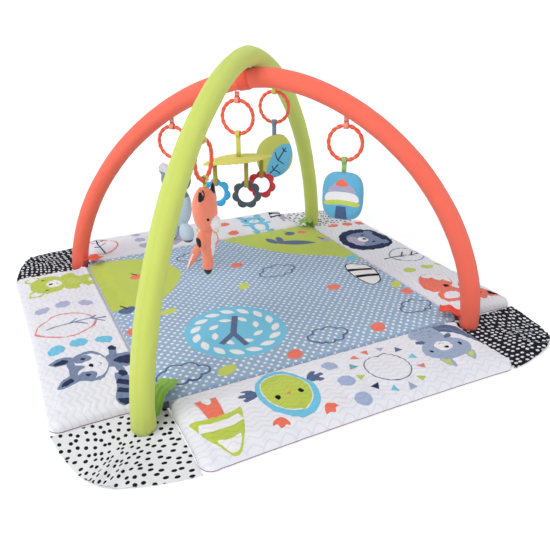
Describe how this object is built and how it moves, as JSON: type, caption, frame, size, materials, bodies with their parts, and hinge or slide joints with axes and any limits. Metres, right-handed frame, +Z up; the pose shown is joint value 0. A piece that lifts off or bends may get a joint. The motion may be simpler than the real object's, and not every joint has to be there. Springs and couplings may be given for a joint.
{
  "type": "activity play gym",
  "caption": "Square padded play mat with fold-up padded sides, dotted corner gussets and two crossed padded arches that hold hanging toys on link rings.",
  "frame": {"origin": "on the floor under the middle of the mat, which is the bottom centre of the overall box", "axes": "+Z up, the front wall faces -Y, +X to the right; one arch runs from back left to front right, the other from front left to back right"},
  "size_m": [0.92, 0.92, 0.507],
  "materials": {
    "centre_fabric": "matte woven polyester, grey-blue with small white dots",
    "wall_fabric": "matte woven polyester, white with printed shapes",
    "batting": "loose polyester fibre",
    "gusset_white": "matte woven polyester, white with black dots",
    "gusset_black": "matte woven polyester, black with white dots",
    "sleeve_coral": "matte stretch fabric over foam",
    "sleeve_lime": "matte stretch fabric over foam",
    "pole": "satin glass-fibre rod",
    "ferrule": "satin",
    "cap": "matte",
    "link": "gloss",
    "loop_pink": "woven tape",
    "loop_lime": "woven tape",
    "loop_grey": "woven tape",
    "plush_grey": "short plush",
    "plush_fox": "short plush",
    "plush_leaf": "short plush",
    "plush_tree": "short plush",
    "flower_blue": "satin moulded plastic",
    "flower_grey": "satin moulded plastic",
    "flower_red": "satin moulded plastic"
  },
  "bodies": {
    "gym_frame": {"centre_cover": "centre_fabric", "centre_batting": "batting", "gusset_front_left": "gusset_white", "gusset_front_right": "gusset_black", "gusset_back_left": "gusset_black", "gusset_back_right": "gusset_white", "coral_sleeve": "sleeve_coral", "coral_pole_a": "pole", "coral_pole_b": "pole", "coral_ferrule": "ferrule", "coral_cap_a": "cap", "coral_cap_b": "cap", "lime_sleeve": "sleeve_lime", "lime_pole_a": "pole", "lime_pole_b": "pole", "lime_ferrule": "ferrule", "lime_cap_a": "cap", "lime_cap_b": "cap", "tab_front_left": "sleeve_lime", "tab_front_right": "sleeve_coral", "tab_back_left": "sleeve_coral", "tab_back_right": "sleeve_lime", "crossing_strap": "sleeve_coral", "grey_hanger_loop": "loop_pink", "fox_hanger_loop": "loop_lime", "leaf_hanger_loop": "loop_lime", "tree_hanger_loop": "loop_pink", "mobile_hanger_loop": "loop_pink"},
    "wall_front": {"wall_front_cover": "wall_fabric", "wall_front_batting": "batting"},
    "wall_right": {"wall_right_cover": "wall_fabric", "wall_right_batting": "batting"},
    "wall_back": {"wall_back_cover": "wall_fabric", "wall_back_batting": "batting"},
    "wall_left": {"wall_left_cover": "wall_fabric", "wall_left_batting": "batting"},
    "grey_link": {"grey_link_ring": "link"},
    "grey_toy": {"grey_plush": "plush_grey", "grey_hang_loop": "loop_grey"},
    "fox_link": {"fox_link_ring": "link"},
    "fox_toy": {"fox_plush": "plush_fox", "fox_tail": "plush_fox", "fox_hang_loop": "loop_lime"},
    "leaf_link": {"leaf_link_ring": "link"},
    "leaf_toy": {"leaf_plush": "plush_leaf", "leaf_hang_loop": "loop_grey"},
    "tree_link": {"tree_link_ring": "link"},
    "tree_toy": {"tree_plush": "plush_tree", "tree_hang_loop": "loop_lime"},
    "mobile_link": {"mobile_link_ring": "link"},
    "mobile_leaf": {"mobile_strap": "loop_lime", "mobile_canopy": "plush_leaf"},
    "pendant_blue": {"pendant_blue_strap": "loop_lime", "pendant_blue_flower_ring": "flower_blue"},
    "pendant_grey": {"pendant_grey_strap": "loop_lime", "pendant_grey_flower_ring": "flower_grey"},
    "pendant_red": {"pendant_red_strap": "loop_lime", "pendant_red_flower_ring": "flower_red"}
  },
  "joints": [
    {"name": "fold_front", "type": "hinge", "parent": "gym_frame", "child": "wall_front", "pos_m": [0, -0.303, 0.024], "axis": [-1, 0, 0], "range_deg": [0, 90]},
    {"name": "fold_right", "type": "hinge", "parent": "gym_frame", "child": "wall_right", "pos_m": [0.303, 0, 0.024], "axis": [0, -1, 0], "range_deg": [0, 90]},
    {"name": "fold_back", "type": "hinge", "parent": "gym_frame", "child": "wall_back", "pos_m": [0, 0.303, 0.024], "axis": [1, 0, 0], "range_deg": [0, 90]},
    {"name": "fold_left", "type": "hinge", "parent": "gym_frame", "child": "wall_left", "pos_m": [-0.303, 0, 0.024], "axis": [0, 1, 0], "range_deg": [0, 90]},
    {"name": "grey_link_swing", "type": "hinge", "parent": "gym_frame", "child": "grey_link", "pos_m": [-0.12092, 0.12092, 0.35189], "axis": [0.7071, -0.7071, 0], "range_deg": [-30, 30]},
    {"name": "grey_toy_swing", "type": "hinge", "parent": "grey_link", "child": "grey_toy", "pos_m": [-0.12092, 0.12092, 0.28869], "axis": [0.7071, -0.7071, 0], "range_deg": [-30, 30]},
    {"name": "fox_link_swing", "type": "hinge", "parent": "gym_frame", "child": "fox_link", "pos_m": [-0.15648, -0.15648, 0.37964], "axis": [0.7071, 0.7071, 0], "range_deg": [-30, 30]},
    {"name": "fox_toy_swing", "type": "hinge", "parent": "fox_link", "child": "fox_toy", "pos_m": [-0.15648, -0.15648, 0.31644], "axis": [0.7071, 0.7071, 0], "range_deg": [-30, 30]},
    {"name": "leaf_link_swing", "type": "hinge", "parent": "gym_frame", "child": "leaf_link", "pos_m": [0.09475, 0.09475, 0.41037], "axis": [0.7071, -0.7071, 0], "range_deg": [-8, 30]},
    {"name": "leaf_toy_swing", "type": "hinge", "parent": "leaf_link", "child": "leaf_toy", "pos_m": [0.09475, 0.09475, 0.34717], "axis": [0.7071, -0.7071, 0], "range_deg": [-8, 30]},
    {"name": "tree_link_swing", "type": "hinge", "parent": "gym_frame", "child": "tree_link", "pos_m": [0.1294, -0.1294, 0.37421], "axis": [0.7071, -0.7071, 0], "range_deg": [-30, 30]},
    {"name": "tree_toy_swing", "type": "hinge", "parent": "tree_link", "child": "tree_toy", "pos_m": [0.1294, -0.1294, 0.31101], "axis": [0.7071, -0.7071, 0], "range_deg": [-30, 30]},
    {"name": "mobile_link_swing", "type": "hinge", "parent": "gym_frame", "child": "mobile_link", "pos_m": [-0.02051, 0.02051, 0.40953], "axis": [0.7071, -0.7071, 0], "range_deg": [-25, 6]},
    {"name": "mobile_toy_swing", "type": "hinge", "parent": "mobile_link", "child": "mobile_leaf", "pos_m": [-0.02051, 0.02051, 0.34633], "axis": [0.7071, -0.7071, 0], "range_deg": [-25, 6]},
    {"name": "pendant_blue_swing", "type": "hinge", "parent": "mobile_leaf", "child": "pendant_blue", "pos_m": [-0.07051, 0.02251, 0.29323], "axis": [0.8988, -0.4384, 0], "range_deg": [-20, 20]},
    {"name": "pendant_grey_swing", "type": "hinge", "parent": "mobile_leaf", "child": "pendant_grey", "pos_m": [-0.01451, -0.00149, 0.29323], "axis": [0.8988, -0.4384, 0], "range_deg": [-25, 8]},
    {"name": "pendant_red_swing", "type": "hinge", "parent": "mobile_leaf", "child": "pendant_red", "pos_m": [0.02949, 0.02251, 0.29323], "axis": [0.8988, -0.4384, 0], "range_deg": [-8, 8]}
  ]
}
